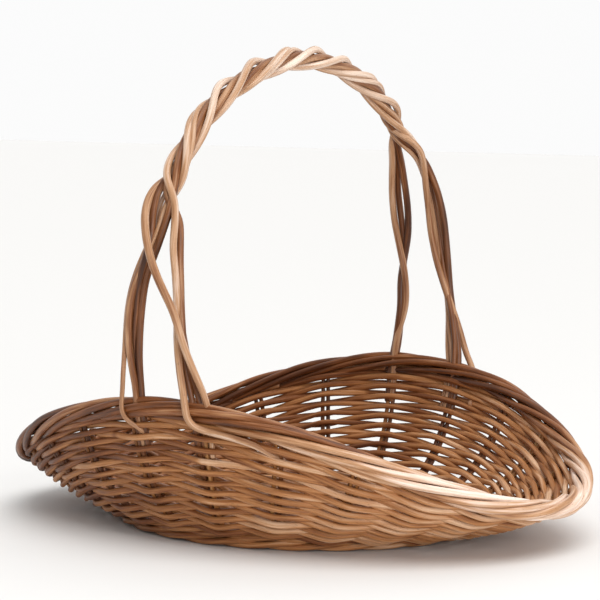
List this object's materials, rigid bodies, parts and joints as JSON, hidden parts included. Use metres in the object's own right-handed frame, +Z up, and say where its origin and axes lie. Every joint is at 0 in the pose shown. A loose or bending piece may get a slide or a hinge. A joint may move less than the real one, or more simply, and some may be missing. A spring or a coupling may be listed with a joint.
{
  "type": "woven market basket",
  "caption": "Oval open basket of woven willow with raised sides, low ends and a fixed rope-twisted handle arched over the middle for carrying by hand or arm.",
  "frame": {"origin": "middle of the base, on the plane that the basket rests on", "axes": "+X along the basket's long axis, +Y across it towards the far handle foot, +Z up"},
  "size_m": [0.4813, 0.3576, 0.3633],
  "materials": {
    "siding_willow": "buff willow rods, boiled and peeled, semi-matt, warm brown with darker and paler rods",
    "stake_willow": "thicker buff willow rods, semi-matt, warm brown",
    "border_willow": "buff willow rods, worn smooth, paler on top",
    "handle_willow": "buff willow rods, worn smooth, pale tan with a low sheen",
    "base_willow": "buff willow sticks and fine weaving rods, matt, darker brown"
  },
  "bodies": {
    "root": {"long_stick_1": "base_willow", "long_stick_2": "base_willow", "long_stick_3": "base_willow", "cross_stick_1": "base_willow", "cross_stick_2": "base_willow", "cross_stick_3": "base_willow", "cross_stick_4": "base_willow", "cross_stick_5": "base_willow", "base_weave": "base_willow", "foot_wale": "siding_willow", "stake_1": "stake_willow", "stake_2": "stake_willow", "stake_3": "stake_willow", "stake_4": "stake_willow", "stake_5": "stake_willow", "stake_6": "stake_willow", "stake_7": "stake_willow", "stake_8": "stake_willow", "stake_9": "stake_willow", "stake_10": "stake_willow", "stake_11": "stake_willow", "stake_12": "stake_willow", "stake_13": "stake_willow", "stake_14": "stake_willow", "stake_15": "stake_willow", "stake_16": "stake_willow", "stake_17": "stake_willow", "stake_18": "stake_willow", "stake_19": "stake_willow", "stake_20": "stake_willow", "stake_21": "stake_willow", "stake_22": "stake_willow", "stake_23": "stake_willow", "stake_24": "stake_willow", "siding_row_1": "siding_willow", "siding_row_2": "siding_willow", "siding_row_3": "siding_willow", "siding_row_4": "siding_willow", "siding_row_5": "siding_willow", "siding_row_6": "siding_willow", "siding_row_7": "siding_willow", "siding_row_8": "siding_willow", "siding_row_9": "siding_willow", "siding_row_10": "siding_willow", "siding_row_11": "siding_willow", "siding_row_12": "siding_willow", "siding_row_13": "siding_willow", "siding_row_14": "siding_willow", "border_inner": "border_willow", "border_outer": "border_willow", "handle_strand_1": "handle_willow", "handle_strand_2": "handle_willow", "handle_strand_3": "handle_willow", "handle_strand_4": "handle_willow"}
  },
  "joints": []
}
